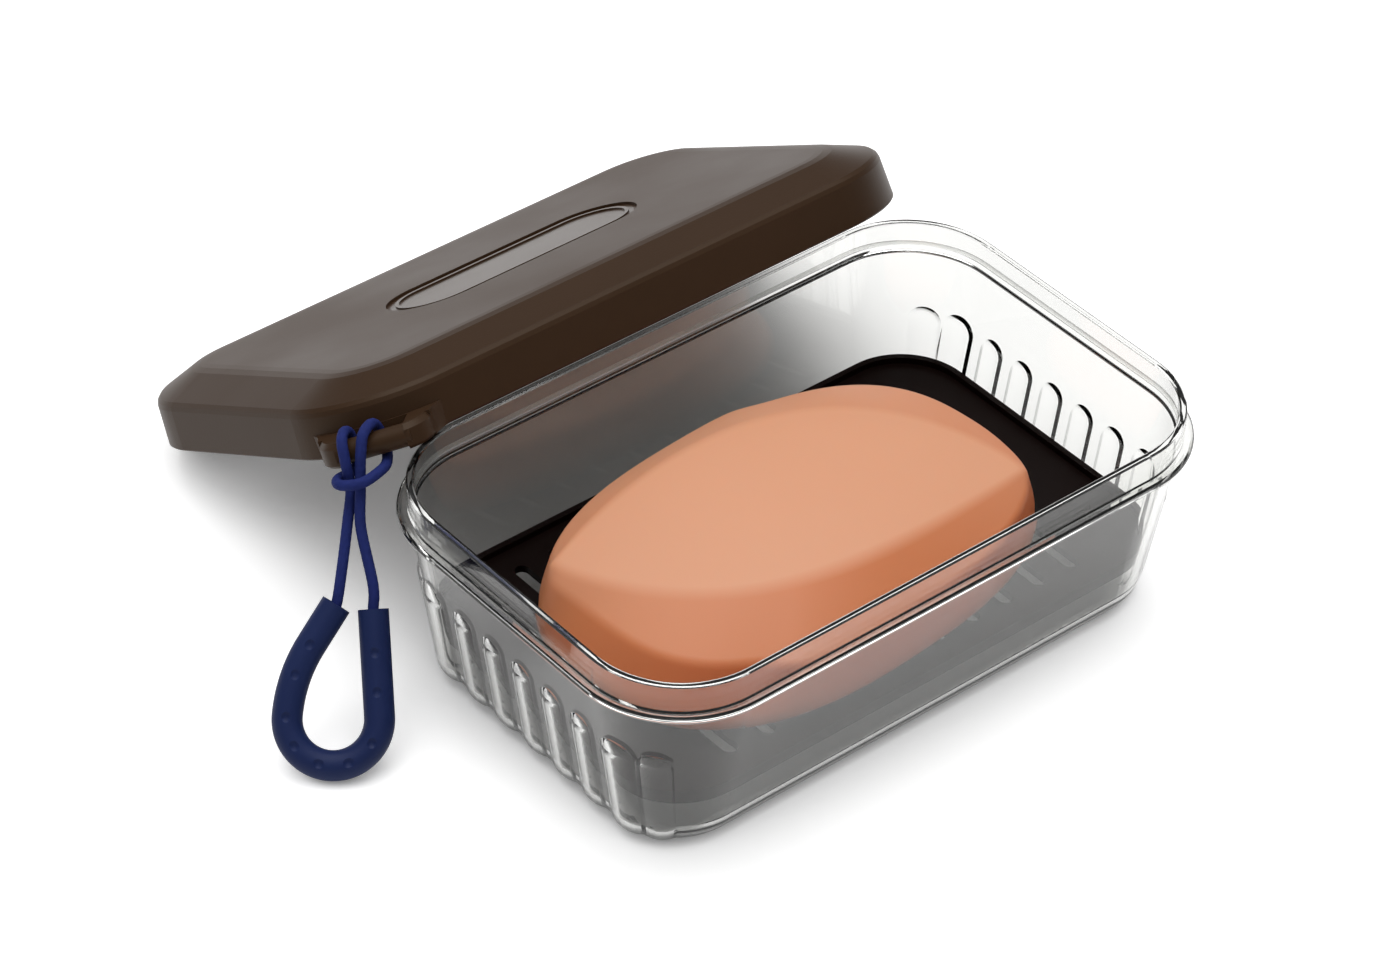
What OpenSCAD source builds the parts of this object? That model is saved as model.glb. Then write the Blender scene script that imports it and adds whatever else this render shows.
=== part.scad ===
/* [Tub] */
// Outside length at the rim
body_l = 120; // [112:1:140]
// Outside width at the rim
body_w = 76.4; // [75:0.2:90]
// Height from the foot to the rim
body_h = 39.4; // [36:0.2:46]
// Outside corner radius at the rim
corner_r = 17.6; // [16:0.2:22]
// Wall thickness
wall = 1.3; // [1.1:0.1:1.6]
// Floor thickness
floor_t = 1.5; // [1.2:0.1:2]
// Height of the thin rim above the bead
rim_h = 4.9; // [4:0.1:6]
// How far the bead stands out of the rim
bead_out = 1.6; // [1.3:0.1:2]
// Height of the bead
bead_t = 1.8; // [1.4:0.1:2.2]
// How far the wall runs in from the bead down to the foot
taper = 5.1; // [4:0.1:6]
// Radius between the wall and the foot
foot_r = 6; // [4:0.5:7]

/* [Flutes] */
// Flutes along each short end
flute_n = 7; // [3:2:7]
// Distance between flutes
flute_pitch = 7.55; // [7.2:0.05:7.6]
// Radius of a flute
flute_r = 5.4; // [4.6:0.1:5.8]
// How far a flute stands out of the wall
flute_out = 0.7; // [0.5:0.1:0.9]
// Height of a flute's rounded top
flute_top = 23.5; // [18:0.5:26]
// Angle of the single flute on each corner
flute_turn = 37; // [30:1:45]

/* [Tray] */
// Top of the tray's lip above the foot
tray_z = 13.8; // [12:0.2:16]
// Height of the lip's band
tray_band = 3; // [2.6:0.2:4]
// Thickness of the tray's plate
tray_t = 1.4; // [1.2:0.1:2]
// How far the lip stands above the plate
lip_h = 1.2; // [0.8:0.1:1.4]
// Width of the lip
lip_w = 1.1; // [0.8:0.1:1.6]
// Width of a drain slot
slot_w = 2.6; // [2:0.1:3.4]
// Distance between drain slots
slot_pitch = 7.3; // [6:0.1:7.6]
// Drain slots in each of the two rows
slot_n = 11; // [5:2:11]
// Gap between the tray's edge and the wall
tray_gap = 0.3; // [0.25:0.05:0.5]

/* [Soap] */
// Length of the bar of soap
soap_l = 92; // [80:1:96]
// Width of the bar of soap
soap_w = 60.6; // [52:0.2:61]
// Thickness of the bar of soap
soap_h = 18.6; // [16:0.2:20]
// Turn of the bar in the box
soap_turn = 5; // [0:1:6]
// Length of the crown's lens
crown_l = 83; // [76:1:86]
// Width of the crown's lens
crown_w = 41; // [36:1:44]
// Turn of the crown's lens
crown_turn = -21; // [-24:1:-16]
// Height of the bar's side wall
side_h = 12.1; // [10:0.1:13]
// Gap between the soap and the tray
soap_gap = 0.3; // [0.25:0.05:0.5]

/* [Lid] */
// Height of the lid
lid_h = 11.6; // [10.4:0.1:14]
// Height of the lid's skirt up to the chamfer
skirt_h = 8.4; // [7.2:0.1:8.6]
// How far the chamfer runs in
chamfer_in = 9.4; // [7:0.2:12]
// Thickness of the lid's roof
roof_t = 1.6; // [1.3:0.1:2]
// Gap between the rim and the lid's skirt
lid_gap = 0.25; // [0.2:0.05:0.4]
// Gap under the leaning lid
lean_gap = 0.3; // [0.25:0.05:0.5]
// How much of the skirt's edge lies over the rim
seat = 1.2; // [0.9:0.1:1.3]
// Sideways place of the leaning lid
lid_x = 1; // [-2:0.5:3]
// Length of the cartouche
panel_l = 51; // [30:1:60]
// Width of the cartouche
panel_w = 19; // [12:0.5:24]
// Depth of the cartouche
panel_d = 0.5; // [0.3:0.1:0.7]

/* [Lug] */
// How far the lug stands out of the lid's corner
lug_out = 6.6; // [6.6:0.1:7.4]
// Width of the lug along its bar
lug_w = 19; // [18.4:0.2:21]
// Corner radius of the lug
lug_r = 5.5; // [4.5:0.1:6]
// Thickness of the lug
lug_t = 4.2; // [4:0.1:5]
// Direction of the lug round the corner
lug_turn = 230; // [226:1:234]
// Diameter of the lug's bar
bar_d = 3.9; // [3:0.1:3.9]
// Length of the lug's slot along the bar
slot_len = 11.2; // [11:0.1:12]

/* [Lanyard] */
// Diameter of the cord
cord_d = 1.8; // [1.6:0.1:1.9]
// Gap between the cord and the bar
cord_gap = 0.3; // [0.25:0.05:0.4]
// Diameter of the pull's tube
pull_d = 5; // [4:0.1:5.4]
// Radius of the pull's bend
bend_r = 7.4; // [6.5:0.1:8]
// Length of the pull's straight leg
leg_l = 17.2; // [14:0.2:18]
// Radius of the pull's curved leg
leg_r = 25.5; // [22:0.5:30]
// Straight end of the pull's curved leg
leg_end = 7.6; // [6:0.2:8.4]

/* [Hidden] */
$fn = 48;

// corner centres, shared by the tub, the tray and the lid
half_l = body_l / 2 - corner_r;
half_w = body_w / 2 - corner_r;

// the wall's outer line: inset from the rim at height z, and its lean
bead_top = body_h - rim_h;
bead_low = bead_top - bead_t;
neck_in = 0.35;
slope = taper / bead_low;
lean = atan(slope);
wall_x = wall / cos(lean);
function inset(z) = neck_in + slope * (bead_low - z);
foot_in = inset(0);

// centre of the foot's rounding, tangent to the floor and the wall line
function foot_c(x0, zc, r) = x0 + (zc * sin(lean) - r) / cos(lean);
function arc(cx, cz, r, a0, a1, n) = [
  for (i = [0:n]) [cx + r * cos(a0 + (a1 - a0) * i / n), cz + r * sin(a0 + (a1 - a0) * i / n)]
];

out_c = foot_c(corner_r - foot_in, foot_r, foot_r);
in_r = foot_r - wall;
in_z = floor_t + in_r;
in_c = foot_c(corner_r - foot_in - wall_x, in_z, in_r);
bead_r = bead_t / 2;
rim_t = 1.25;
rim_r = 0.3;
crease_z = bead_top - 0.9;

// flutes: heights of the centres of the rounded foot and of the rounded top
flute_z = flute_r + 0.2;
flute_in = inset(flute_z) - flute_out;
flute_h = flute_top - flute_z - sqrt(flute_out * (2 * flute_r - flute_out));

// tray
tray_low = tray_z - tray_band;
plate_top = tray_z - lip_h;
plate_low = plate_top - tray_t;
function tray_r(z) = corner_r - inset(z) - wall_x - tray_gap / cos(lean);
slot_in = 6;
slot_out = tray_r(plate_top) + half_w - 5.2;

// soap
soap_z = plate_top + soap_gap;
soap_at = [-2.4, -1.2];
crown_lean = 0.37;
crown_fall = 6.2;
crease_fall = 1.5;
foot_in_s = 4;
soap_n = 60;

// radius at angle a of the side wall (a superellipse) and of the crown (two parabolas end to end)
function oval_r(a) = pow(
  pow(abs(cos(a - soap_turn)) * 2 / soap_l, 2.5) + pow(abs(sin(a - soap_turn)) * 2 / soap_w, 2.5), -0.4
);
function lens_r(a) = let (
  s = abs(sin(a - crown_turn)),
  c = cos(a - crown_turn) - crown_lean * sin(a - crown_turn)
) crown_w / (s + sqrt(s * s + pow(2 * crown_w * c / crown_l, 2)));
function crease_r(a) = min(lens_r(a), oval_r(a) * 0.96 - 0.4);
function crown_z(r, a) = soap_h
  - crown_fall * pow(2 * r * cos(a - crown_turn) / crown_l, 2)
  - crease_fall * pow(2 * r * sin(a - crown_turn) / crown_w, 2);

// the soap's profile at angle a, from the crown down to the foot
function soap_line(a) = let (c = crease_r(a), w = oval_r(a)) [
  [c * 0.35, crown_z(c * 0.35, a)],
  [c * 0.7, crown_z(c * 0.7, a)],
  [c, crown_z(c, a)],
  [w * 0.96, min(side_h, crown_z(c, a) - 0.1)],
  [w, 3],
  [w - foot_in_s * 0.3, 0.8],
  [w - foot_in_s, 0]
];
soap_rows = len(soap_line(0));
soap_points = concat(
  [
    for (k = [0:soap_rows - 1])
      for (j = [0:soap_n - 1])
        let (a = 360 * j / soap_n, p = soap_line(a)[k]) [p[0] * cos(a), p[0] * sin(a), p[1]]
  ],
  [[0, 0, soap_h], [0, 0, 0]]
);

// lid: outside as the bead, inside as the rim and the gap
lid_r = corner_r + bead_out;
lid_in = corner_r + lid_gap;
lid_w = 2 * (half_w + lid_r);
tilt = asin((body_h + lean_gap) / (lid_w - seat));
lid_y = body_w / 2 - seat * cos(tilt) + lid_w / 2 * cos(tilt);
lid_z = lid_w / 2 * sin(tilt);
bar_u = lid_r + lug_out - 0.2 - bar_d / 2;
bar_z = lug_t / 2;
lug_u = lid_r + lug_out - lug_r;
lug_v = lug_w / 2 - lug_r;
blend_in = lid_r - 0.6;
blend_r = (lug_u * lug_u + lug_w * lug_w / 4 - blend_in * blend_in) / (2 * blend_in - lug_w);
blend_v = lug_w / 2 + blend_r;

// pull: its frame, x to the side, y up the lanyard, z out of its plane
pull_at = [-82.5, 16.4, pull_d / 2 + 0.2];
pull_turn = [48.2, 2.5, -42.8];
bend_at = [-0.8, bend_r];
leg_a = 8.5;
leg_b = 27;

// points in the lug's frame (out, along the bar and up, all from the bar's middle) and in the
// pull's frame, put in the world
function turn_x(p, a) = [p[0], p[1] * cos(a) - p[2] * sin(a), p[1] * sin(a) + p[2] * cos(a)];
function turn_y(p, a) = [p[0] * cos(a) + p[2] * sin(a), p[1], p[2] * cos(a) - p[0] * sin(a)];
function turn_z(p, a) = [p[0] * cos(a) - p[1] * sin(a), p[0] * sin(a) + p[1] * cos(a), p[2]];
function from_lid(p) = turn_x(p, -tilt) + [lid_x, lid_y, lid_z];
function from_lug(p) = from_lid(
  turn_z([bar_u + p[0], p[1], bar_z + p[2]], lug_turn) + [-half_l, -half_w, 0]
);
function from_pull(p) = turn_z(turn_y(turn_x(p, pull_turn[0]), pull_turn[1]), pull_turn[2]) + pull_at;

// the pull's two open ends
end_a = bend_at + [leg_r - bend_r, 0]
  + [-leg_r * cos(leg_b) + leg_end * sin(leg_b), leg_r * sin(leg_b) + leg_end * cos(leg_b)];
end_b = bend_at + [bend_r * cos(leg_a) - leg_l * sin(leg_a), bend_r * sin(leg_a) + leg_l * cos(leg_a)];
dimple_r = 1.2;
dir_a = [sin(leg_b), cos(leg_b)];
dir_b = [-sin(leg_a), cos(leg_a)];

// radius of the cord's loops round the bar
loop_r = bar_d / 2 + cord_gap + cord_d / 2;
hitch = [
  [loop_r, -5, -2.4],
  [loop_r, -4.7, 0],
  [loop_r * 0.74, -4.45, loop_r * 0.74],
  [0, -4.15, loop_r + 0.05],
  [-loop_r * 0.74, -3.9, loop_r * 0.74],
  [-loop_r, -3.8, 0],
  [-loop_r * 0.74, -4, -loop_r * 0.76],
  [-0.5, -5, -loop_r - 0.3],
  [2.2, -7.05, -loop_r - 0.3],
  [4.6, -6.7, -loop_r - 0.6],
  [5.6, -4.6, -loop_r - 1],
  [5.5, -2.4, -loop_r - 1.1],
  [3.6, -0.4, -loop_r - 0.8],
  [1, 0.9, -loop_r - 0.4],
  [-loop_r * 0.72, 1, -loop_r * 0.78],
  [-loop_r, 0.9, 0],
  [-loop_r * 0.74, 0.7, loop_r * 0.74],
  [0, 0.2, loop_r + 0.05],
  [loop_r * 0.75, -0.9, loop_r * 0.75],
  [loop_r, -1.9, 0],
  [loop_r, -2.8, -2.4]
];
function up3(p) = [p[0], p[1], 0];
route = concat(
  [
    from_pull(up3(end_a - 2 * dir_a)),
    from_pull(up3(end_a)),
    from_pull([-1.55, 32, 0.4]),
    from_pull([-1.35, 39, 0.3]),
    from_pull([-1.3, 44, 0.1])
  ],
  [for (p = hitch) from_lug(p)],
  [
    from_pull([0.35, 44, 1.6]),
    from_pull([0.9, 38.3, 0.9]),
    from_pull([3.6, 29.4, 0.3]),
    from_pull(up3(end_b)),
    from_pull(up3(end_b - 2 * dir_b))
  ]
);

function knot(k) = route[min(max(k, 0), len(route) - 1)];
function curve(a, b, c, d, t) = 0.5 * (2 * b + (c - a) * t + (2 * a - 5 * b + 4 * c - d) * t * t
  + (3 * b - a - 3 * c + d) * t * t * t);
steps = 2;
line = [
  for (k = [0:len(route) - 2])
    for (j = [0:steps - 1])
      curve(knot(k - 1), knot(k), knot(k + 1), knot(k + 2), j / steps),
  route[len(route) - 1]
];
function unit(v) = v / norm(v);
function along(i) = unit(line[min(i + 1, len(line) - 1)] - line[max(i - 1, 0)]);
function flat(v, t) = unit(v - (v * t) * t);
function sides(i, v) = i >= len(line) ? []
  : let (n = flat(v, along(i))) concat([n], sides(i + 1, n));
normals = sides(0, [0.3, 0.4, 1]);
cord_sides = 8;
rings = [
  for (i = [0:len(line) - 1])
    for (j = [0:cord_sides - 1])
      let (n = normals[i], b = cross(along(i), n), a = 360 * j / cord_sides)
        line[i] + cord_d / 2 * (n * cos(a) + b * sin(a))
];

// 2-D outline of the tub's outside and of its hollow, from a corner's centre outward
module tub_outer_2d() {
  polygon(concat(
    [[0, 0]],
    arc(out_c, foot_r, foot_r, -90, -lean, 6),
    [[corner_r - neck_in, bead_low]],
    arc(corner_r + bead_out - bead_r, bead_low + bead_r, bead_r, -90, 90, 6),
    [[corner_r, bead_top]],
    [[corner_r, body_h - rim_r], [corner_r - rim_r * 0.3, body_h - rim_r * 0.3]],
    [[corner_r - rim_r, body_h], [0, body_h]]
  ));
}
module tub_inner_2d() {
  polygon(concat(
    [[0, floor_t]],
    arc(in_c, in_z, in_r, -90, -lean, 5),
    [[corner_r - inset(crease_z) - wall_x, crease_z], [corner_r - rim_t, crease_z]],
    [[corner_r - rim_t, body_h - rim_r], [corner_r - rim_t + rim_r * 0.3, body_h - rim_r * 0.3]],
    [[corner_r - rim_t + rim_r, body_h], [corner_r - rim_t + rim_r, body_h + 1], [0, body_h + 1]]
  ));
}

// a 2-D outline run round the rounded rectangle, closed in the middle from z0 to z1
module round_box(z0, z1) {
  for (s = [0, 180]) {
    rotate([0, 0, s]) {
      translate([half_l, half_w, 0]) rotate_extrude(angle = 90) children();
      translate([-half_l, half_w, 0]) rotate([0, 0, 90]) rotate_extrude(angle = 90) children();
      translate([-half_l, half_w, 0]) rotate([90, 0, 90]) linear_extrude(2 * half_l) children();
      translate([half_l, half_w, 0]) rotate([90, 0, 0]) linear_extrude(2 * half_w) children();
    }
  }
  translate([-half_l, -half_w, z0]) cube([2 * half_l, 2 * half_w, z1 - z0]);
}

// one flute of radius r, from a corner's centre line outward along +X
module flute(r) {
  translate([corner_r - flute_in - flute_r / cos(lean), 0, flute_z]) rotate([0, lean, 0]) {
    cylinder(r = r, h = flute_h);
    sphere(r = r);
    translate([0, 0, flute_h]) sphere(r = r);
  }
}
module flutes(r) {
  for (s = [0, 180]) {
    rotate([0, 0, s]) {
      for (i = [0:flute_n - 1]) {
        translate([half_l, (i - (flute_n - 1) / 2) * flute_pitch, 0]) flute(r);
      }
      for (m = [-1, 1]) {
        translate([half_l, m * half_w, 0]) rotate([0, 0, m * flute_turn]) flute(r);
      }
    }
  }
}

module base_tub() {
  color([0.86, 0.88, 0.9, 0.35])
    difference() {
      union() {
        round_box(0, body_h) tub_outer_2d();
        flutes(flute_r);
      }
      union() {
        round_box(floor_t, body_h + 1) tub_inner_2d();
        flutes(flute_r - wall);
      }
    }
}

module drain_tray() {
  color([0.09, 0.07, 0.06])
    difference() {
      round_box(plate_low, plate_top)
        polygon([
          [0, plate_low],
          [tray_r(tray_z) - lip_w - 0.4, plate_low],
          [tray_r(tray_z) - lip_w - 0.4, tray_low],
          [tray_r(tray_low), tray_low],
          [tray_r(tray_z), tray_z],
          [tray_r(tray_z) - lip_w, tray_z],
          [tray_r(tray_z) - lip_w, plate_top],
          [0, plate_top]
        ]);
      for (i = [0:slot_n - 1]) {
        for (s = [-1, 1]) {
          translate([(i - (slot_n - 1) / 2) * slot_pitch, s * (slot_in + slot_out) / 2, plate_low - 1])
            linear_extrude(tray_t + 2) {
              square([slot_w, slot_out - slot_in - slot_w], center = true);
              translate([0, (slot_out - slot_in - slot_w) / 2]) circle(d = slot_w);
              translate([0, -(slot_out - slot_in - slot_w) / 2]) circle(d = slot_w);
            }
        }
      }
    }
}

// the bar: rows of points from the crown down, closed by a fan on top and one below
module soap_bar() {
  color([0.93, 0.72, 0.56])
    translate([soap_at[0], soap_at[1], soap_z])
      polyhedron(
        points = soap_points,
        faces = concat(
          [for (j = [0:soap_n - 1]) [soap_rows * soap_n, (j + 1) % soap_n, j]],
          [
            for (i = [0:soap_rows - 2])
              for (j = [0:soap_n - 1])
                let (a = i * soap_n, k = (j + 1) % soap_n)
                  [a + j, a + k, a + soap_n + k]
          ],
          [
            for (i = [0:soap_rows - 2])
              for (j = [0:soap_n - 1])
                let (a = i * soap_n, k = (j + 1) % soap_n)
                  [a + j, a + soap_n + k, a + soap_n + j]
          ],
          [
            for (j = [0:soap_n - 1])
              let (a = (soap_rows - 1) * soap_n)
                [soap_rows * soap_n + 1, a + j, a + (j + 1) % soap_n]
          ]
        )
      );
}

// the lid's outside and inside, from a corner's centre outward
module lid_outer_2d() {
  polygon([
    [0, 0],
    [lid_r - 0.3, 0],
    [lid_r, 0.3],
    [lid_r - 0.35, skirt_h - 1.2],
    [lid_r - 0.6, skirt_h - 0.45],
    [lid_r - 1.2, skirt_h + 0.15],
    [lid_r - chamfer_in + 1.6, lid_h - 0.38],
    [lid_r - chamfer_in, lid_h - 0.08],
    [lid_r - chamfer_in - 1.4, lid_h],
    [0, lid_h]
  ]);
}
module lid_inner_2d() {
  polygon([
    [0, -1],
    [lid_in, -1],
    [lid_in, rim_h + 0.9],
    [lid_in - 0.35, skirt_h - 1.5],
    [lid_r - chamfer_in, lid_h - roof_t],
    [0, lid_h - roof_t]
  ]);
}
module panel_2d(d) {
  square([panel_l - panel_w, panel_w - 2 * d], center = true);
  translate([(panel_l - panel_w) / 2, 0]) circle(d = panel_w - 2 * d);
  translate([-(panel_l - panel_w) / 2, 0]) circle(d = panel_w - 2 * d);
}

// the lug: an eared plate blended into the skirt, with a slot that its round bar bridges
module lug() {
  difference() {
    union() {
      for (m = [-1, 1]) {
        translate([lug_u, m * lug_v, 0]) rotate_extrude()
          polygon([
            [0, 0],
            [lug_r - 0.5, 0],
            [lug_r, 0.5],
            [lug_r, lug_t - 0.9],
            [lug_r - 0.8, lug_t],
            [0, lug_t]
          ]);
      }
      linear_extrude(lug_t)
        difference() {
          union() {
            polygon([[0, 0], [lug_u, -blend_v], [lug_u, blend_v]]);
            translate([0, -lug_v]) square([lug_u + 1, 2 * lug_v]);
          }
          translate([lug_u, blend_v]) circle(r = blend_r);
          translate([lug_u, -blend_v]) circle(r = blend_r);
        }
    }
    difference() {
      translate([0, -slot_len / 2, -1]) cube([lug_u + lug_r + 1, slot_len, lug_t + 2]);
      translate([0, 0, -2]) cylinder(r = lid_r + 0.15, h = lug_t + 4);
    }
  }
  translate([bar_u, slot_len / 2 + 0.8, bar_z]) rotate([90, 0, 0])
    cylinder(d = bar_d, h = slot_len + 1.6);
}

module lid() {
  color([0.21, 0.17, 0.15])
    translate([lid_x, lid_y, lid_z])
      rotate([-tilt, 0, 0]) {
        difference() {
          union() {
            round_box(0, lid_h) lid_outer_2d();
            translate([-half_l, -half_w, 0]) rotate([0, 0, lug_turn]) lug();
          }
          round_box(-1, lid_h - roof_t) lid_inner_2d();
          translate([0, 0, lid_h - panel_d]) linear_extrude(panel_d + 1) panel_2d(0);
        }
        translate([0, 0, lid_h - panel_d - 0.2]) linear_extrude(0.5)
          difference() {
            panel_2d(1.6);
            panel_2d(2.3);
          }
      }
}

module lanyard_cord() {
  color([0.2, 0.42, 0.75])
    polyhedron(
      points = rings,
      faces = concat(
        [[for (j = [0:cord_sides - 1]) j]],
        [
          for (i = [0:len(line) - 2])
            for (j = [0:cord_sides - 1])
              let (a = i * cord_sides, b = a + cord_sides, k = (j + 1) % cord_sides)
                [a + j, b + j, b + k]
        ],
        [
          for (i = [0:len(line) - 2])
            for (j = [0:cord_sides - 1])
              let (a = i * cord_sides, b = a + cord_sides, k = (j + 1) % cord_sides)
                [a + j, b + k, a + k]
        ],
        [[for (j = [cord_sides - 1:-1:0]) (len(line) - 1) * cord_sides + j]]
      )
    );
}

// a shallow dimple on top of the pull's tube
module dimple() {
  translate([0, 0, pull_d / 2 + dimple_r - 0.4]) sphere(r = dimple_r);
}
module pull() {
  color([0.13, 0.16, 0.26])
    translate(pull_at) rotate(pull_turn)
      translate([bend_at[0], bend_at[1], 0])
        difference() {
          union() {
            rotate([0, 0, 180]) rotate_extrude(angle = 180 + leg_a) translate([bend_r, 0]) circle(d = pull_d);
            rotate([0, 0, leg_a]) translate([bend_r, 0, 0]) rotate([-90, 0, 0])
              cylinder(d = pull_d, h = leg_l);
            translate([leg_r - bend_r, 0, 0]) rotate([0, 0, 180 - leg_b]) {
              rotate_extrude(angle = leg_b) translate([leg_r, 0]) circle(d = pull_d);
              translate([leg_r, 0, 0]) rotate([90, 0, 0]) cylinder(d = pull_d, h = leg_end);
            }
          }
          for (i = [0:4]) rotate([0, 0, 182 + 38 * i]) translate([bend_r, 0, 0]) dimple();
          for (i = [0:1]) {
            rotate([0, 0, leg_a]) translate([bend_r, 3.9 + 6.3 * i, 0]) dimple();
            translate([leg_r - bend_r, 0, 0]) rotate([0, 0, 165 - 12 * i]) translate([leg_r, 0, 0]) dimple();
          }
        }
}

base_tub();
drain_tray();
soap_bar();
lid();
lanyard_cord();
pull();
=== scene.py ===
import bpy
import numpy as np
from mathutils import Euler, Matrix, Vector


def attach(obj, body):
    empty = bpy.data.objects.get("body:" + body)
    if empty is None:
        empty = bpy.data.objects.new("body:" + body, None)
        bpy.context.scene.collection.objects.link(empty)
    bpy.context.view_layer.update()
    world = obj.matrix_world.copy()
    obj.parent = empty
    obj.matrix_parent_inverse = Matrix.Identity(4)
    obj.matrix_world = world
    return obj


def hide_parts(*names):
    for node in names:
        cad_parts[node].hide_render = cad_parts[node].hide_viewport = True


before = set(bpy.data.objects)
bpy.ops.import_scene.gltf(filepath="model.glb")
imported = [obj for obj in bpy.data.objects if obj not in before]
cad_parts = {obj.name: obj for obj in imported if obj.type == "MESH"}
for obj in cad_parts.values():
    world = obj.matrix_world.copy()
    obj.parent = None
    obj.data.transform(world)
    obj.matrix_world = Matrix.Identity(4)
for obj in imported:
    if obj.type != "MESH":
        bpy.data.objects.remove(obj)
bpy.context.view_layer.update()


# Camera. It stands where the photograph was taken from, above the open tub's front left corner,
# with a long lens, so the box shows little perspective. Its turn is in degrees.
CAMERA_PLACE = (-0.4011, -0.44135, 0.52221)
CAMERA_TURN = (50.329, -1.354, -39.593)

camera_data = bpy.data.cameras.new("photo_camera")
camera_data.sensor_width = 36
camera_data.sensor_fit = "HORIZONTAL"
camera_data.lens = 122.02
camera_data.clip_end = 20
camera = bpy.data.objects.new("photo_camera", camera_data)
camera.matrix_world = Matrix.LocRotScale(Vector(CAMERA_PLACE), Euler(np.radians(CAMERA_TURN)), None)
bpy.context.collection.objects.link(camera)
bpy.context.scene.camera = camera


# Lanyard cord. A limp braided polyester cord, 1.8 mm thick, doubled and hitched round the lug's
# bar, with both ends fixed in the pull. The route's points are the same as in the part's source.
CORD_D = 0.0018
CORD_SIDES = 24
CORD_STEP = 0.00012
CURVE_STEPS = 40
BRAID_STRANDS = 3
BRAID_PITCH = 0.0022
BRAID_DEPTH = 0.1
FIRST_NORMAL = (0.3, 0.4, 1)
CORD_ROUTE = 0.001 * np.array([
    (-73.18, 29.55, 20.67),
    (-71.67, 29.76, 21.96),
    (-68.57, 32.17, 26.87),
    (-65.04, 35.36, 32.00),
    (-62.53, 37.77, 35.59),
    (-62.46, 38.64, 39.09),
    (-62.23, 39.69, 41.26),
    (-61.51, 41.27, 43.04),
    (-59.78, 43.08, 42.98),
    (-58.09, 44.04, 41.41),
    (-57.49, 43.35, 39.11),
    (-58.17, 41.71, 37.30),
    (-60.11, 40.52, 36.77),
    (-63.42, 39.87, 37.15),
    (-64.69, 37.94, 37.94),
    (-63.73, 35.91, 38.67),
    (-61.98, 34.71, 39.26),
    (-59.22, 35.01, 39.43),
    (-56.56, 36.21, 39.19),
    (-54.38, 38.86, 38.90),
    (-53.89, 40.74, 40.64),
    (-54.57, 41.49, 42.90),
    (-56.45, 40.67, 44.39),
    (-58.81, 39.30, 44.23),
    (-60.08, 38.13, 42.17),
    (-60.77, 37.42, 39.81),
    (-62.04, 35.80, 36.52),
    (-64.02, 33.16, 31.78),
    (-65.99, 27.51, 24.64),
    (-67.43, 25.61, 21.52),
    (-68.15, 24.49, 20.04),
])


def smooth_path(points, per_span):
    """Catmull-Rom curve: between points b and c it is the cubic that passes both with slopes
    (c - a) / 2 and (d - b) / 2."""
    ends = np.vstack([points[:1], points, points[-1:]])
    a, b, c, d = (ends[k:len(ends) - 3 + k, None, :] for k in range(4))
    t = (np.arange(per_span) / per_span)[None, :, None]
    cubic = 0.5 * (2 * b + (c - a) * t + (2 * a - 5 * b + 4 * c - d) * t**2
                   + (3 * b - a - 3 * c + d) * t**3)
    return np.vstack([cubic.reshape(-1, 3), points[-1:]])


def even_path(points, step):
    """The same curve with points at equal steps of its length, and the length at each."""
    length = np.concatenate([[0], np.cumsum(np.linalg.norm(np.diff(points, axis=0), axis=1))])
    at = np.linspace(0, length[-1], int(round(length[-1] / step)) + 1)
    return np.column_stack([np.interp(at, length, points[:, k]) for k in range(3)]), at


def carried_normals(points, first):
    """Two normals carried along a path: each first one is the one before it, made square to the
    tangent, and each second one is square to both."""
    tangent = np.gradient(points, axis=0)
    tangent /= np.linalg.norm(tangent, axis=1)[:, None]
    normal = np.empty_like(points)
    last = np.array(first, float)
    for i, direction in enumerate(tangent):
        last = last - direction * (last @ direction)
        last /= np.linalg.norm(last)
        normal[i] = last
    return normal, np.cross(tangent, normal)


def braided_tube(points, at):
    """A tube round a path. Its radius is R (1 - d + d w), where the weave w is the higher of two
    opposite helices |sin(n u + v / 2)| and |sin(n u - v / 2)|, u round the cord and v along it."""
    normal, side = carried_normals(points, FIRST_NORMAL)
    u = np.linspace(0, 2 * np.pi, CORD_SIDES, endpoint=False)[None, :]
    v = (2 * np.pi * at / BRAID_PITCH)[:, None]
    weave = np.maximum(np.abs(np.sin(BRAID_STRANDS * u + v / 2)),
                       np.abs(np.sin(BRAID_STRANDS * u - v / 2)))
    radius = CORD_D / 2 * (1 - BRAID_DEPTH + BRAID_DEPTH * weave)
    ring = np.cos(u)[..., None] * normal[:, None, :] + np.sin(u)[..., None] * side[:, None, :]
    return points[:, None, :] + radius[..., None] * ring


def grid_mesh(name, grid):
    """A mesh from a grid of points, rows along the piece and columns round it; the columns close,
    and each end row is capped by one face."""
    rows, cols = grid.shape[:2]
    index = np.arange(rows * cols).reshape(rows, cols)
    turned = np.roll(index, -1, axis=1)
    faces = np.stack([index[:-1], index[1:], turned[1:], turned[:-1]], axis=-1).reshape(-1, 4)
    faces = faces.tolist() + [index[0].tolist(), index[-1][::-1].tolist()]
    mesh = bpy.data.meshes.new(name)
    mesh.from_pydata(grid.reshape(-1, 3), [], faces)
    mesh.polygons.foreach_set("use_smooth", np.ones(len(mesh.polygons), bool))
    mesh.update()
    piece = bpy.data.objects.new(name, mesh)
    bpy.context.collection.objects.link(piece)
    return piece


def new_material(name):
    """A node material, returned with its node tree and its Principled BSDF."""
    material = bpy.data.materials.new(name)
    material.use_nodes = True
    return material, material.node_tree, material.node_tree.nodes["Principled BSDF"]


def set_sockets(node, **values):
    """Sets a node's inputs by name, with underscores for spaces."""
    for key, value in values.items():
        node.inputs[key.replace("_", " ")].default_value = value


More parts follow.
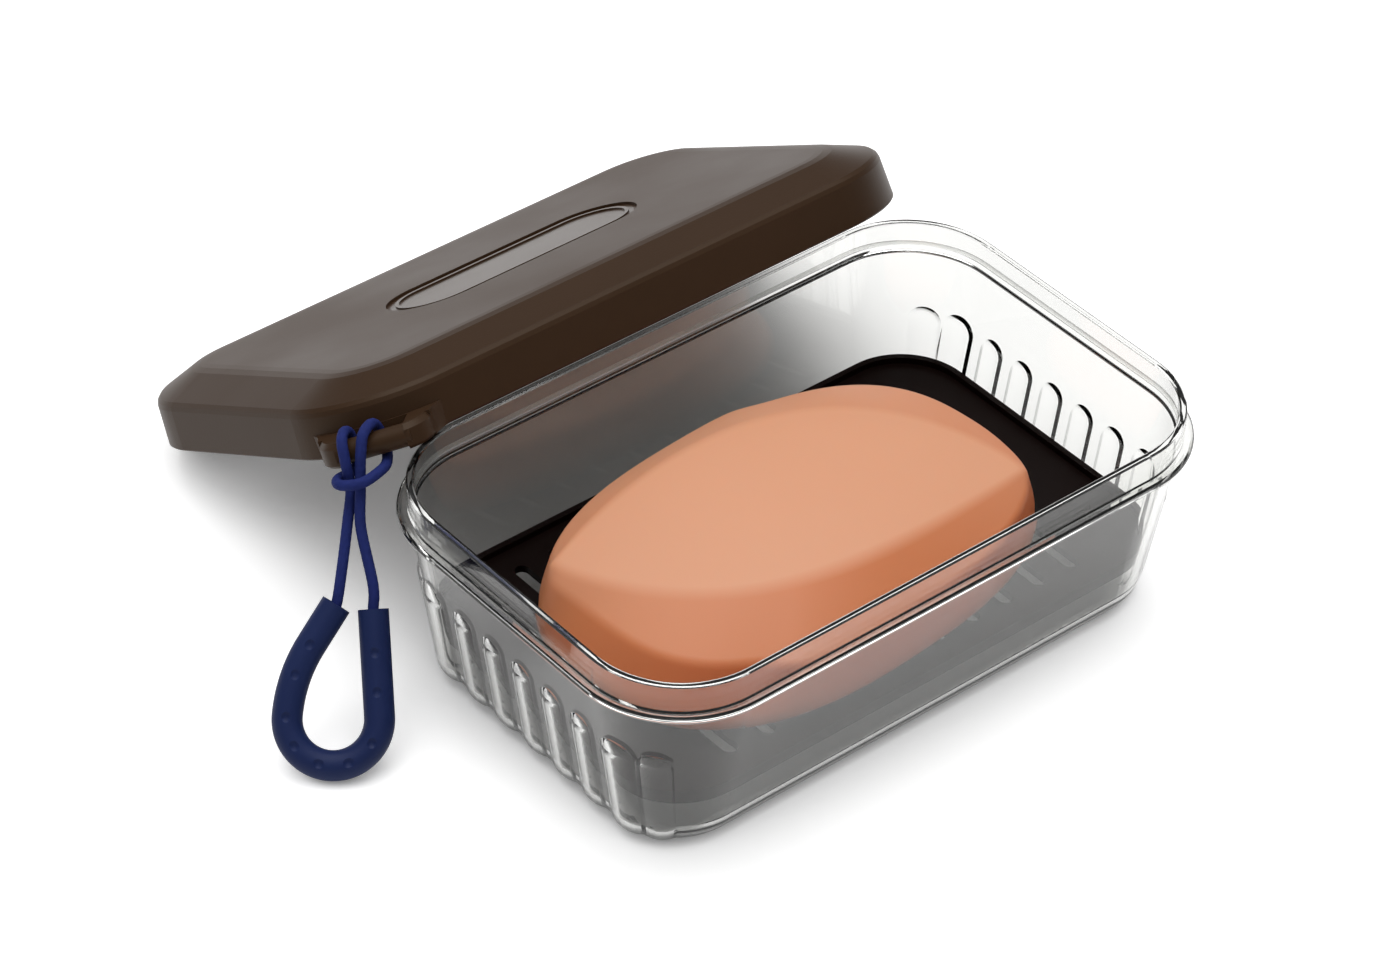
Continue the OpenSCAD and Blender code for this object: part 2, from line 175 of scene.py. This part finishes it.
def add_node(tree, kind, **values):
    """A new shader node in a tree, with the inputs that are named set."""
    node = tree.nodes.new("ShaderNode" + kind)
    set_sockets(node, **values)
    return node


def grain_group():
    """Node group Moulded Grain: fine noise in object space, put out as a height for bump, and wide
    noise as a mask for roughness and colour."""
    group = bpy.data.node_groups.new("Moulded Grain", "ShaderNodeTree")
    face = group.interface
    face.new_socket("Scale", in_out="INPUT", socket_type="NodeSocketFloat")
    face.new_socket("Patches", in_out="INPUT", socket_type="NodeSocketFloat")
    face.new_socket("Height", in_out="OUTPUT", socket_type="NodeSocketFloat")
    face.new_socket("Mask", in_out="OUTPUT", socket_type="NodeSocketFloat")
    enter = group.nodes.new("NodeGroupInput")
    leave = group.nodes.new("NodeGroupOutput")
    place = add_node(group, "TexCoord")
    fine = add_node(group, "TexNoise", Detail=3)
    wide = add_node(group, "TexNoise", Detail=4)
    group.links.new(place.outputs["Object"], fine.inputs["Vector"])
    group.links.new(place.outputs["Object"], wide.inputs["Vector"])
    group.links.new(enter.outputs["Scale"], fine.inputs["Scale"])
    group.links.new(enter.outputs["Patches"], wide.inputs["Scale"])
    group.links.new(fine.outputs["Fac"], leave.inputs["Height"])
    group.links.new(wide.outputs["Fac"], leave.inputs["Mask"])
    return group


grain = grain_group()


def add_grain(tree, shader, scale, patches, bump, depth, rough, dark, light):
    """Places Moulded Grain in a material: its height drives a bump of a strength and a depth, and
    its mask drives roughness between two values and colour between two tones."""
    effect = add_node(tree, "Group")
    effect.node_tree = grain
    set_sockets(effect, Scale=scale, Patches=patches)
    height = add_node(tree, "Bump", Strength=bump, Distance=depth)
    roughness = add_node(tree, "MapRange", From_Min=0.3, From_Max=0.7, To_Min=rough[0],
                         To_Max=rough[1])
    tone = add_node(tree, "Mix")
    tone.data_type = "RGBA"
    set_sockets(tone, A=(*dark, 1), B=(*light, 1))
    tree.links.new(effect.outputs["Height"], height.inputs["Height"])
    tree.links.new(effect.outputs["Mask"], roughness.inputs["Value"])
    tree.links.new(effect.outputs["Mask"], tone.inputs["Factor"])
    tree.links.new(height.outputs["Normal"], shader.inputs["Normal"])
    tree.links.new(roughness.outputs["Result"], shader.inputs["Roughness"])
    tree.links.new(tone.outputs["Result"], shader.inputs["Base Color"])


cord_line, cord_at = even_path(smooth_path(CORD_ROUTE, CURVE_STEPS), CORD_STEP)
cord = grid_mesh("braided_cord", braided_tube(cord_line, cord_at))
cord_blue, tree, shader = new_material("Braided cord")
set_sockets(shader, Specular_IOR_Level=0.15)
add_grain(tree, shader, scale=6000, patches=900, bump=0.4, depth=0.0001, rough=(0.65, 0.85),
          dark=(0.010, 0.018, 0.11), light=(0.020, 0.032, 0.17))
cord.data.materials.append(cord_blue)
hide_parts("lanyard_cord")
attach(cord, "lanyard")


# Pull. A horseshoe of soft navy rubber with small dimples, for a finger. It is moulded over the
# cord's two ends, and the CAD node stays as its shape.
def dress(name, material):
    """Gives a CAD node its material, and returns the node's object."""
    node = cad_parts[name]
    node.data.materials.clear()
    node.data.materials.append(material)
    return node


rubber, tree, shader = new_material("Navy rubber")
set_sockets(shader, Specular_IOR_Level=0.2)
add_grain(tree, shader, scale=2500, patches=120, bump=0.25, depth=0.0001, rough=(0.5, 0.62),
          dark=(0.006, 0.015, 0.07), light=(0.010, 0.021, 0.09))
pull = dress("pull", rubber)


# Tub. One clear moulding, polished, with a rounded bead under its rim, fluted ends and a rounded
# foot. The CAD node stays and takes a clear plastic with a faint waviness.
clear, tree, shader = new_material("Clear plastic")
set_sockets(shader, Base_Color=(0.86, 0.862, 0.845, 1), Transmission_Weight=1, IOR=1.49)
place = add_node(tree, "TexCoord")
wave = add_node(tree, "TexNoise", Scale=60)
ripple = add_node(tree, "Bump", Strength=0.04, Distance=0.0005)
gloss = add_node(tree, "MapRange", To_Min=0.01, To_Max=0.05)
tree.links.new(place.outputs["Object"], wave.inputs["Vector"])
tree.links.new(wave.outputs["Fac"], ripple.inputs["Height"])
tree.links.new(wave.outputs["Fac"], gloss.inputs["Value"])
tree.links.new(ripple.outputs["Normal"], shader.inputs["Normal"])
tree.links.new(gloss.outputs["Result"], shader.inputs["Roughness"])
dress("base_tub", clear)


# Drain tray. A near-black moulding with a low lip and drain slots, which drops into the tub and
# holds the soap off the floor. The CAD node stays.
tray_black, tree, shader = new_material("Tray plastic")
set_sockets(shader, Specular_IOR_Level=0.06)
add_grain(tree, shader, scale=1800, patches=60, bump=0.1, depth=0.0001, rough=(0.3, 0.42),
          dark=(0.004, 0.0018, 0.0015), light=(0.007, 0.0032, 0.0026))
dress("drain_tray", tray_black)


# Soap. A pressed peach bar: an oval side wall, a diagonal lens of crown on top, and a bevel
# between the two on each long side. It lies loose on the tray.
SOAP_CENTRE = (-0.0024, -0.0012)
SOAP_HALF_LENGTH = 0.046
SOAP_HALF_WIDTH = 0.0303
SOAP_TURN = np.radians(5)
SOAP_FOOT = 0.0129
SOAP_TOP = 0.0315
SOAP_SIDES = 240
CROWN_HALF_LENGTH = 0.0415
CROWN_HALF_WIDTH = 0.0205
CROWN_TURN = np.radians(-21)
CROWN_LEAN = 0.37
CROWN_FALL = 0.0062
CREASE_FALL = 0.0015
CREASE_TO_EDGE = 0.0004
EDGE_HEIGHT = 0.0240
EDGE_TILT = 0.001
EDGE_BELOW_CREASE = 0.0001
FOOT_ROUND_IN = 0.004
FOOT_ROUND_UP = 0.003

# the crown's rings as shares of its radius, from a small cap outward, and how far each corner of
# the bar's profile is rounded, from the crown down to the foot
CAP_SHARE = 0.02
CROWN_SHARES = (CAP_SHARE, 0.25, 0.5, 0.75)
ROUNDING = (0.004, 0.004, 0.004, 0.0016, 0.0011, 0.004, 0.003)
ROUND_STEPS = 6

# the wall's lean all round, and the places where it leans in more: angle and spread in degrees,
# and share
WALL_LEAN = 0.05
MORE_LEAN = ((197, 31, 0.085), (24, 40, 0.05))

# painted shade: how strong the bevels' and the wall's painted shade is at the bar's two ends, by
# how much less at the back and more at the front, and the two tints that paint it
PAINTED_SHADE_MEAN = 0.55
PAINTED_SHADE_SWING = 0.45
BEVEL_PAINTED_SHADE = (0.87, 0.59, 0.40, 1)
WALL_PAINTED_SHADE = (0.74, 0.31, 0.14, 1)


def oval_radius(angle):
    """Radius of the side wall's outline, a superellipse |x / a|^2.5 + |y / b|^2.5 = 1, turned."""
    x = np.abs(np.cos(angle - SOAP_TURN)) / SOAP_HALF_LENGTH
    y = np.abs(np.sin(angle - SOAP_TURN)) / SOAP_HALF_WIDTH
    return (x**2.5 + y**2.5) ** (-1 / 2.5)


def lens_radius(angle):
    """Radius of the crown's outline: two parabolas b = w (1 - (a / l)^2), leaning by a = 0.37 b,
    with a along the diagonal."""
    across = np.abs(np.sin(angle - CROWN_TURN))
    along = np.cos(angle - CROWN_TURN) - CROWN_LEAN * np.sin(angle - CROWN_TURN)
    bend = CROWN_HALF_WIDTH * along / CROWN_HALF_LENGTH
    return 2 * CROWN_HALF_WIDTH / (across + np.sqrt(across**2 + 4 * bend**2))


def crown_height(radius, angle):
    """Height of the crown: it falls by the square of the distance, 6.2 mm to the two tips and
    1.5 mm to the middle of each crease."""
    along = radius * np.cos(angle - CROWN_TURN) / CROWN_HALF_LENGTH
    across = radius * np.sin(angle - CROWN_TURN) / CROWN_HALF_WIDTH
    return SOAP_TOP - CROWN_FALL * along**2 - CREASE_FALL * across**2


def edge_inset(angle):
    """How far the wall leans in below its top edge, as a share of its outline: 5 % all round, and
    s exp(-((a - a0) / w)^8) more near the left tip and at the far right."""
    turned = (np.degrees(angle) + 90) % 360 - 90
    return WALL_LEAN + sum(share * np.exp(-((turned - at) / spread) ** 8)
                           for at, spread, share in MORE_LEAN)


def rounded_profile(corners, cuts, steps, most=0.45):
    """A polyline of corner points with each corner replaced by the quadratic Bezier that starts
    and ends at a given distance from it, or at a share of the side where that is shorter."""
    parts = [corners[:1]]
    for before, corner, after, cut in zip(corners[:-2], corners[1:-1], corners[2:], cuts):
        back, ahead = before - corner, after - corner
        back_length = np.linalg.norm(back, axis=-1, keepdims=True)
        ahead_length = np.linalg.norm(ahead, axis=-1, keepdims=True)
        start = corner + back * np.minimum(cut / back_length, most)
        end = corner + ahead * np.minimum(cut / ahead_length, most)
        t = np.linspace(0, 1, steps)[:, None, None]
        parts.append((1 - t)**2 * start + 2 * t * (1 - t) * corner + t**2 * end)
    parts.append(corners[-1:])
    return np.concatenate(parts)


angle = np.linspace(0, 2 * np.pi, SOAP_SIDES, endpoint=False)
wall = oval_radius(angle)
edge = wall * (1 - edge_inset(angle))
crease = np.minimum(lens_radius(angle), edge - CREASE_TO_EDGE)
crease_z = crown_height(crease, angle)
edge_z = np.minimum(EDGE_HEIGHT - EDGE_TILT * np.sin(angle), crease_z - EDGE_BELOW_CREASE)
foot_z = np.full_like(angle, SOAP_FOOT)
profile = [(crease * share, crown_height(crease * share, angle)) for share in CROWN_SHARES]
profile += [
    (crease, crease_z),
    (edge, edge_z),
    (wall, foot_z + FOOT_ROUND_UP),
    (wall - FOOT_ROUND_IN, foot_z),
    (crease * CAP_SHARE, foot_z),
]
profile = np.stack([np.stack(corner, axis=-1) for corner in profile])
outline = rounded_profile(profile, ROUNDING, ROUND_STEPS)
direction = np.stack([np.cos(angle), np.sin(angle)], axis=-1)
soap_grid = np.concatenate([
    np.array(SOAP_CENTRE) + outline[..., :1] * direction,
    outline[..., 1:],
], axis=-1)
soap = grid_mesh("pressed_soap", soap_grid[::-1])

# the attribute below holds the painted shade's strength: 0 on the crown, rising to 1 over the
# crease and from 1 to 2 over the wall's edge
crease_row = 1 + (len(CROWN_SHARES) - 1) * ROUND_STEPS
edge_row = crease_row + ROUND_STEPS
rows = (crease_row, edge_row - 1, edge_row, edge_row + ROUND_STEPS - 1)
zone = np.interp(np.arange(len(outline)), rows, (0, 1, 1, 2))
# the painted shade is made weaker at the back of the bar and stronger at the front
zone = zone[:, None] * (PAINTED_SHADE_MEAN - PAINTED_SHADE_SWING * np.sin(angle))[None, :]
soap.data.attributes.new("painted_shade_zone", "FLOAT", "POINT").data.foreach_set(
    "value", zone[::-1].ravel().astype(np.float32))


def math_node(tree, operation, first, second=None):
    """The output of a new math node; each of its inputs is a socket or a number."""
    node = add_node(tree, "Math")
    node.operation = operation
    for socket, value in zip(node.inputs, (first, second)):
        if isinstance(value, (int, float)):
            socket.default_value = value
        elif value is not None:
            tree.links.new(value, socket)
    return node.outputs[0]


def painted_shade_group():
    """Node group Soap Painted Shade: a tint of painted shade by the point attribute of its
    strength, pale on the crown (0), fuller on the bevels (1) and deepest on the wall (2)."""
    group = bpy.data.node_groups.new("Soap Painted Shade", "ShaderNodeTree")
    group.interface.new_socket("Tint", in_out="OUTPUT", socket_type="NodeSocketColor")
    leave = group.nodes.new("NodeGroupOutput")
    zone = add_node(group, "Attribute")
    zone.attribute_name = "painted_shade_zone"
    ramp = add_node(group, "ValToRGB")
    stops = ramp.color_ramp.elements
    stops[0].position, stops[0].color = 0, (1, 1, 1, 1)
    stops[1].position, stops[1].color = 1, WALL_PAINTED_SHADE
    stops.new(0.5).color = BEVEL_PAINTED_SHADE
    half = math_node(group, "MULTIPLY", zone.outputs["Fac"], 0.5)
    group.links.new(half, ramp.inputs["Fac"])
    group.links.new(ramp.outputs["Color"], leave.inputs["Tint"])
    return group


peach, tree, shader = new_material("Peach soap")
set_sockets(shader, Specular_IOR_Level=0.3, Subsurface_Weight=0.15, Subsurface_Scale=0.004,
            Subsurface_Radius=(1, 0.4, 0.2))
add_grain(tree, shader, scale=900, patches=25, bump=0.06, depth=0.0002, rough=(0.42, 0.55),
          dark=(0.73, 0.345, 0.198), light=(0.77, 0.37, 0.218))
# painted shade: the soap's colour is multiplied by a tint that is darker on the bevels and the wall
painted_soap_shade = add_node(tree, "Group")
painted_soap_shade.node_tree = painted_shade_group()
soap_with_painted_shade = add_node(tree, "Mix")
soap_with_painted_shade.data_type = "RGBA"
soap_with_painted_shade.blend_type = "MULTIPLY"
set_sockets(soap_with_painted_shade, Factor=1)
tree.links.new(shader.inputs["Base Color"].links[0].from_socket, soap_with_painted_shade.inputs["A"])
tree.links.new(painted_soap_shade.outputs["Tint"], soap_with_painted_shade.inputs["B"])
tree.links.new(soap_with_painted_shade.outputs["Result"], shader.inputs["Base Color"])
soap.data.materials.append(peach)
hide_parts("soap_bar")
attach(soap, "soap")


# Lid. A dark brown satin moulding with a long skirt, a wide chamfer, a bare cartouche and a lug.
# It is loose and leans on the tub's rim. The CAD node stays, with its cartouche a little glossier.

# the height of the rim that the lid leans on, and how far along the lid that is from the table
LEAN_HEIGHT = 0.0397
LEAN_SPAN = 0.0784
LID_TILT = np.arcsin(LEAN_HEIGHT / LEAN_SPAN)

# the cartouche's flat floor on the leaning lid, and the weight of its gloss
PLATE_CENTRE = (0.001, 0.07736, 0.03016)
PLATE_ALONG = (1, 0, 0)
PLATE_ACROSS = (0, np.cos(LID_TILT), -np.sin(LID_TILT))
PLATE_LENGTH = 0.0496
PLATE_WIDTH = 0.0176
PLATE_GLOSS = 0.38


def plate_group():
    """Node group Cartouche Plate: 1 where a point is inside a flat capsule, that is where
    sqrt(max(|a| - (L - W) / 2, 0)^2 + b^2) < W / 2, with a and b measured along two axes."""
    group = bpy.data.node_groups.new("Cartouche Plate", "ShaderNodeTree")
    group.interface.new_socket("Mask", in_out="OUTPUT", socket_type="NodeSocketFloat")
    leave = group.nodes.new("NodeGroupOutput")
    place = add_node(group, "TexCoord")
    offset = add_node(group, "VectorMath")
    offset.operation = "SUBTRACT"
    offset.inputs[1].default_value = PLATE_CENTRE
    group.links.new(place.outputs["Object"], offset.inputs[0])
    parts = []
    for axis in (PLATE_ALONG, PLATE_ACROSS):
        dot = add_node(group, "VectorMath")
        dot.operation = "DOT_PRODUCT"
        dot.inputs[1].default_value = axis
        group.links.new(offset.outputs["Vector"], dot.inputs[0])
        parts.append(math_node(group, "ABSOLUTE", dot.outputs["Value"]))
    over = math_node(group, "SUBTRACT", parts[0], (PLATE_LENGTH - PLATE_WIDTH) / 2)
    over = math_node(group, "MAXIMUM", over, 0)
    square = math_node(group, "ADD", math_node(group, "POWER", over, 2),
                       math_node(group, "POWER", parts[1], 2))
    inside = math_node(group, "LESS_THAN", math_node(group, "SQRT", square), PLATE_WIDTH / 2)
    group.links.new(inside, leave.inputs["Mask"])
    return group


brown, tree, shader = new_material("Lid plastic")
set_sockets(shader, Specular_IOR_Level=0.13, Specular_Tint=(1, 0.93, 0.8, 1), Coat_Roughness=0.2)
add_grain(tree, shader, scale=2200, patches=30, bump=0.12, depth=0.0001, rough=(0.36, 0.44),
          dark=(0.040, 0.020, 0.0095), light=(0.046, 0.0235, 0.012))
plate = add_node(tree, "Group")
plate.node_tree = plate_group()
tree.links.new(math_node(tree, "MULTIPLY", plate.outputs["Mask"], PLATE_GLOSS),
               shader.inputs["Coat Weight"])
dress("lid", brown)


# Floor and studio. A plain white floor that keeps the shadows, a white surround, and two large soft
# lamps overhead. The camera and clear plastic see the floor lifted, less where the box stands close
# over it, and reflections see a surround that is white overhead and dim at the horizon.
FLOOR_HALF = 3
FLOOR_WHITE = 0.88

# how open the floor lies to the sky within a short reach, the lift that this gives it, and what is
# added behind two walls of the tub, of two faces each, and for the camera
SHADE_REACH = 0.06
SHADE_RANGE = (0.15, 0.55)
LIFT_RANGE = (0.03, 0.44)
TUB_FACES = 4
LIFT_BEHIND_TUB = 0.06
LIFT_SEEN = 0.12

# the surround's brightness in reflections by the height of the view, and its light on the box
DOME_RANGE = (0.5, 0.95)
DOME_LIGHT = (0.25, 1)
ROOM_LIGHT = 0.34
LAMP_SIZE = 1.2
LAMP_AIM = (0, 0.02, 0.02)


def smooth_step(tree, rise, values):
    """A map range node that goes smoothly from one value to another over a range of its input."""
    node = add_node(tree, "MapRange", From_Min=rise[0], From_Max=rise[1], To_Min=values[0],
                    To_Max=values[1])
    node.interpolation_type = "SMOOTHSTEP"
    return node


def seen_and_mirrored(tree, path):
    """The camera's own rays, and those that metal and glass send on before any matt surface."""
    sent_on = math_node(tree, "MAXIMUM", path.outputs["Is Glossy Ray"],
                        path.outputs["Is Transmission Ray"])
    before_matt = math_node(tree, "LESS_THAN", path.outputs["Diffuse Depth"], 0.5)
    return path.outputs["Is Camera Ray"], math_node(tree, "MULTIPLY", sent_on, before_matt)


floor_mesh = bpy.data.meshes.new("floor")
corners = [(x * FLOOR_HALF, y * FLOOR_HALF, 0) for x, y in ((-1, -1), (1, -1), (1, 1), (-1, 1))]
floor_mesh.from_pydata(corners, [], [(0, 1, 2, 3)])
floor = bpy.data.objects.new("floor", floor_mesh)
bpy.context.collection.objects.link(floor)
white, tree, shader = new_material("Floor")
set_sockets(shader, Base_Color=(FLOOR_WHITE, FLOOR_WHITE, FLOOR_WHITE, 1), Roughness=0.9,
            Specular_IOR_Level=0, Emission_Color=(1, 1, 1, 1))
path = add_node(tree, "LightPath")
seen, mirrored = seen_and_mirrored(tree, path)
near = add_node(tree, "AmbientOcclusion", Distance=SHADE_REACH)
open_floor = smooth_step(tree, SHADE_RANGE, LIFT_RANGE)
tree.links.new(near.outputs["AO"], open_floor.inputs["Value"])
behind_tub = math_node(tree, "GREATER_THAN", path.outputs["Transmission Depth"], TUB_FACES - 0.5)
lift = math_node(tree, "ADD", open_floor.outputs["Result"],
                 math_node(tree, "MULTIPLY", behind_tub, LIFT_BEHIND_TUB))
lift = math_node(tree, "ADD", lift, math_node(tree, "MULTIPLY", seen, LIFT_SEEN))
lift = math_node(tree, "MULTIPLY", math_node(tree, "MAXIMUM", seen, mirrored), lift)
tree.links.new(lift, shader.inputs["Emission Strength"])
floor_mesh.materials.append(white)

world = bpy.data.worlds.new("studio")
bpy.context.scene.world = world
world.use_nodes = True
tree = world.node_tree
sky = tree.nodes["Background"]
set_sockets(sky, Color=(1, 1, 1, 1))
seen, mirrored = seen_and_mirrored(tree, add_node(tree, "LightPath"))
place = add_node(tree, "TexCoord")
height = add_node(tree, "SeparateXYZ")
dome = smooth_step(tree, DOME_RANGE, DOME_LIGHT)
tree.links.new(place.outputs["Generated"], height.inputs["Vector"])
tree.links.new(height.outputs["Z"], dome.inputs["Value"])
overhead = math_node(tree, "MULTIPLY", mirrored, dome.outputs["Result"])
strength = math_node(tree, "MAXIMUM", math_node(tree, "MAXIMUM", seen, overhead), ROOM_LIGHT)
tree.links.new(strength, sky.inputs["Strength"])


def soft_lamp(name, place, power):
    """A square area lamp at a place, of a power in watts, whose -Z axis looks at the box."""
    data = bpy.data.lights.new(name, "AREA")
    data.size = LAMP_SIZE
    data.energy = power
    lamp = bpy.data.objects.new(name, data)
    bpy.context.collection.objects.link(lamp)
    turn = (Vector(place) - Vector(LAMP_AIM)).to_track_quat("Z", "Y")
    lamp.matrix_world = Matrix.LocRotScale(Vector(place), turn, None)


soft_lamp("key_lamp", (0.2, 0.35, 1.3), 9)
soft_lamp("top_lamp", (-0.1, 0, 1.4), 6)

bpy.context.scene.view_settings.view_transform = "Standard"
